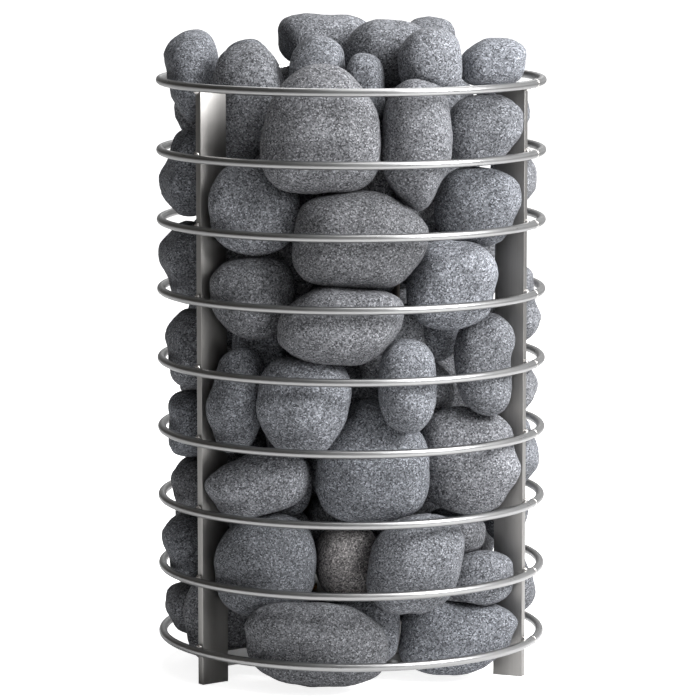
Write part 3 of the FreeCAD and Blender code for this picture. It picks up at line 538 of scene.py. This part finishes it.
def soften(name, label, width, material):
    """A CAD piece with its sharp edges broken."""
    piece = copy_of(name, label)
    pick(piece)
    bpy.ops.object.mode_set(mode="EDIT")
    bpy.ops.mesh.select_all(action="SELECT")
    bpy.ops.mesh.dissolve_limited(angle_limit=math.radians(1))
    bpy.ops.object.mode_set(mode="OBJECT")
    edge = piece.modifiers.new("edge", "BEVEL")
    edge.width = width
    edge.segments = 3
    edge.limit_method = "ANGLE"
    edge.angle_limit = math.radians(40)
    edge.harden_normals = False
    apply_modifiers(piece)
    pick(piece)
    bpy.ops.object.shade_smooth_by_angle(angle=math.radians(35))
    return finish_piece(piece, material, name)


def make_weld_beads():
    """Fillet welds where the rings cross the posts, lumpy and bright."""
    piece = copy_of("ring_welds", "weld_beads")
    even = piece.modifiers.new("even", "REMESH")
    even.mode = "VOXEL"
    even.voxel_size = 0.5 * MM
    even.use_smooth_shade = True
    displace(piece, cloud_texture("ripples", 0.0022, 1), 0.9 * MM, 0.5)
    apply_modifiers(piece)
    return finish_piece(piece, WELD_STEEL, "ring_welds")


def make_ring_seams():
    """The butt weld that closes each ring, ground nearly flush, just outside the right post."""
    turn = math.radians(SEAM_TURN)
    along = Vector((math.cos(turn), math.sin(turn), 0))
    bands = []
    for level in RING_LEVELS:
        where = (ROD_CIRCLE * math.sin(turn), -ROD_CIRCLE * math.cos(turn), level)
        pick_none()
        bpy.ops.mesh.primitive_torus_add(
            location=where, rotation=along.to_track_quat("Z", "Y").to_euler(), major_segments=40,
            minor_segments=10, major_radius=ROD_RADIUS - 0.35 * MM, minor_radius=0.75 * MM)
        bpy.ops.object.transform_apply(location=True, rotation=True, scale=True)
        bands.append(bpy.context.active_object)
    piece = join(bands, "ring_seams")
    displace(piece, cloud_texture("seam ripples", 0.0016, 1), 0.5 * MM, 0.5)
    apply_modifiers(piece)
    bpy.ops.object.shade_smooth()
    piece.data.materials.clear()
    piece.data.materials.append(WELD_STEEL)
    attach(piece, BODY_OF["ring_1"])


# ---------------------------------------------------------------- floor, light and camera

def make_floor():
    bpy.ops.mesh.primitive_plane_add(size=40)
    floor = bpy.context.active_object
    floor.name = "floor"
    material, tree, shader = new_material("studio floor")
    shader.inputs["Base Color"].default_value = (0.92, 0.92, 0.92, 1)
    shader.inputs["Roughness"].default_value = 0.9
    shader.inputs["Emission Color"].default_value = (1, 1, 1, 1)
    seen = node(tree, "ShaderNodeLightPath").outputs["Is Camera Ray"]
    tree.links.new(sums(tree, "MULTIPLY", seen, 0.85), shader.inputs["Emission Strength"])
    floor.data.materials.append(material)


def softbox(label, where, look_at, size, power, colour=(1, 1, 1)):
    data = bpy.data.lights.new(label, "AREA")
    data.shape = "RECTANGLE"
    data.size, data.size_y = size
    data.energy = power
    data.color = colour
    lamp = bpy.data.objects.new(label, data)
    bpy.context.scene.collection.objects.link(lamp)
    lamp.location = where
    lamp.rotation_euler = (Vector(look_at) - Vector(where)).to_track_quat("-Z", "Y").to_euler()


def make_light():
    world = bpy.data.worlds.new("studio")
    bpy.context.scene.world = world
    world.use_nodes = True
    tree = world.node_tree
    tree.nodes.clear()
    way = node(tree, "ShaderNodeTexCoord").outputs["Generated"]
    parts = node(tree, "ShaderNodeSeparateXYZ", {"Vector": way})
    side = sums(tree, "MULTIPLY_ADD", parts.outputs["X"], 0.5, 0.5)
    glow = ramp(tree, side, (0.03, (0.060, 0.054, 0.048)), (0.28, (0.125, 0.123, 0.12)),
                (0.50, (0.42, 0.42, 0.42)), (1.0, (1.0, 1.0, 1.0)))
    dim = node(tree, "ShaderNodeBackground", {"Color": glow, "Strength": 1.05})
    bright = node(tree, "ShaderNodeBackground", {"Color": (1, 1, 1, 1), "Strength": 1.0})
    seen = node(tree, "ShaderNodeLightPath").outputs["Is Camera Ray"]
    both = tree.nodes.new("ShaderNodeMixShader")
    tree.links.new(seen, both.inputs[0])
    tree.links.new(dim.outputs[0], both.inputs[1])
    tree.links.new(bright.outputs[0], both.inputs[2])
    output = tree.nodes.new("ShaderNodeOutputWorld")
    tree.links.new(both.outputs[0], output.inputs["Surface"])
    target = (0, 0, 0.32)
    softbox("right softbox", (1.25, -0.80, 1.30), target, (0.8, 0.9), 60)
    softbox("top softbox", (0.5, -0.2, 2.2), target, (1.2, 1.2), 16)
    softbox("rear softbox", (0.2, 1.5, 1.9), target, (1.2, 1.2), 15)


def make_camera():
    data = bpy.data.cameras.new("camera")
    data.sensor_width = 36
    data.lens = 210.2
    data.clip_end = 100
    camera = bpy.data.objects.new("camera", data)
    bpy.context.scene.collection.objects.link(camera)
    camera.location = (-0.0012, -3.975, 0.8547)
    camera.rotation_euler = (math.radians(90 - 7.79), 0, 0)
    bpy.context.scene.camera = camera


# ---------------------------------------------------------------- the whole heater

make_camera()
make_floor()
make_light()
bpy.context.scene.view_settings.view_transform = "Standard"

for name in sorted(NODES):
    data = NODES[name].data
    data.materials.clear()
    data.materials.append(ROD_STEEL if name in RING_NODES else FINISHES.get(SLOT_OF[name], GRANITE))

for name in sorted(NODES):
    if name.startswith("stones_course_"):
        make_cobbles(name, name.replace("stones_", "cobbles_"), 3.6 * MM, 11 + int(name[-1]))
    if name.startswith("crown_stone_"):
        number = int(name.split("_")[-1])
        make_cobbles(name, f"crown_cobble_{number}", 3.2 * MM, 40 + number)
make_cobbles("core_stones", "core_cobbles", 6 * MM, 77, CORE_SWELL)
for side in ("left", "right", "rear"):
    soften(f"post_{side}", f"post_bar_{side}", 0.6 * MM, POST_STEEL)
make_weld_beads()
make_ring_seams()

bpy.context.view_layer.update()
